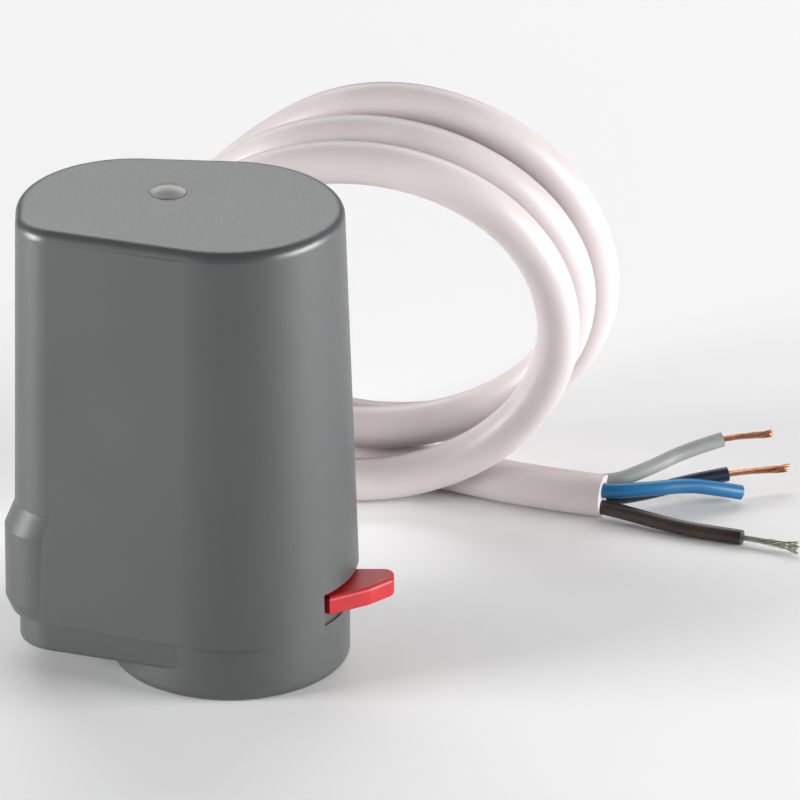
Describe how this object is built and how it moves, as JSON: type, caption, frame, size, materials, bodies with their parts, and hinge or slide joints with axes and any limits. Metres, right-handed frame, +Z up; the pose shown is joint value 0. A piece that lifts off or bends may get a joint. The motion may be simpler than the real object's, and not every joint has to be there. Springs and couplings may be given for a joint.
{
  "type": "zone valve actuator head",
  "caption": "Grey motorised actuator head for a heating zone valve, with a red manual lever and a coiled white flex with stripped ends.",
  "frame": {"origin": "centre of the coupling collar's lower face", "axes": "+Z up along the valve axis, +X towards the manual lever side, -Y towards the front"},
  "size_m": [0.1321, 0.1028, 0.0816],
  "materials": {
    "housing_grey": "fine satin moulding",
    "plug_grey": "polished moulding",
    "lever_red": "semi-gloss",
    "white_nylon": "satin",
    "black_plastic": "satin",
    "black_rubber": "matt",
    "zinc_steel": "zinc plated",
    "ground_steel": "ground",
    "spring_steel": "drawn wire",
    "brass": "turned",
    "winding_copper": "enamelled wire",
    "ferrite": "sintered",
    "board_green": "solder mask",
    "terminal_blue": "moulded",
    "capacitor_yellow": "moulded",
    "jacket_white": "soft PVC",
    "core_grey": "PVC",
    "core_black": "PVC",
    "core_blue": "PVC",
    "core_brown": "PVC",
    "bare_copper": "stranded wire"
  },
  "bodies": {
    "housing": {"base": "housing_grey", "cover": "housing_grey", "top_plug": "plug_grey", "cover_screw": "zinc_steel", "cover_post": "brass", "seal_ring": "black_rubber", "frame_plate": "zinc_steel", "frame_pillars": "brass", "plate_screws": "zinc_steel", "gear_axles": "ground_steel", "return_spring": "spring_steel", "motor_can": "zinc_steel", "motor_end_plate": "zinc_steel", "motor_bobbin": "black_plastic", "motor_winding": "winding_copper", "rotor_bushes": "brass", "switch_body": "black_plastic", "circuit_board": "board_green", "board_spacers": "black_plastic", "terminal_block": "terminal_blue", "run_capacitor": "capacitor_yellow", "cable_gland": "black_rubber", "cable_clamp": "black_plastic", "clamp_screws": "zinc_steel", "inner_wires": "core_blue", "cable_lead": "jacket_white", "cable_coil": "jacket_white", "cable_tail": "jacket_white", "core_grey": "core_grey", "core_black": "core_black", "core_blue": "core_blue", "core_brown": "core_brown", "bare_wire_ends": "bare_copper"},
    "output": {"cam_wheel": "white_nylon", "manual_lever": "lever_red"},
    "plunger": {"plunger": "white_nylon", "cross_pin": "ground_steel"},
    "gear_a": {"intermediate_gear_a": "white_nylon"},
    "gear_b": {"intermediate_gear_b": "white_nylon"},
    "rotor": {"rotor_magnet": "ferrite", "rotor_shaft": "ground_steel", "motor_pinion": "brass"},
    "switch_button": {"switch_button": "lever_red"}
  },
  "joints": [
    {"name": "lever_swing", "type": "hinge", "parent": "housing", "child": "output", "pos_m": [0, 0, 0.03], "axis": [0, 0, 1], "range_deg": [0, 38], "stiffness_Nm_per_rad": 0.06},
    {"name": "gear_a_turn", "type": "hinge", "parent": "housing", "child": "gear_a", "pos_m": [-0.01667, -0.00205, 0.03], "axis": [0, 0, 1], "range_deg": [-114.5, 0.5]},
    {"name": "gear_b_turn", "type": "hinge", "parent": "housing", "child": "gear_b", "pos_m": [-0.01427, 0.00817, 0.03], "axis": [0, 0, 1], "range_deg": [-0.5, 285.5]},
    {"name": "rotor_turn", "type": "hinge", "parent": "housing", "child": "rotor", "pos_m": [-0.0085, 0.0005, 0.03], "axis": [0, 0, 1], "range_deg": [-856, 1]},
    {"name": "plunger_slide", "type": "slide", "parent": "housing", "child": "plunger", "axis": [0, 0, 1], "range_m": [-0.00002, 0.00352], "deforming": ["return_spring"]},
    {"name": "switch_press", "type": "slide", "parent": "housing", "child": "switch_button", "axis": [0, -1, 0], "range_m": [-0.00001, 0.00081]}
  ],
  "couplings": [
    {"joint": "gear_a_turn", "follows": "lever_swing", "ratio": -3},
    {"joint": "gear_b_turn", "follows": "lever_swing", "ratio": 7.5},
    {"joint": "rotor_turn", "follows": "lever_swing", "ratio": -22.5},
    {"joint": "plunger_slide", "follows": "lever_swing", "m_per_rad": 0.0052772},
    {"joint": "switch_press", "follows": "lever_swing", "m_per_rad": 0.0012062}
  ]
}
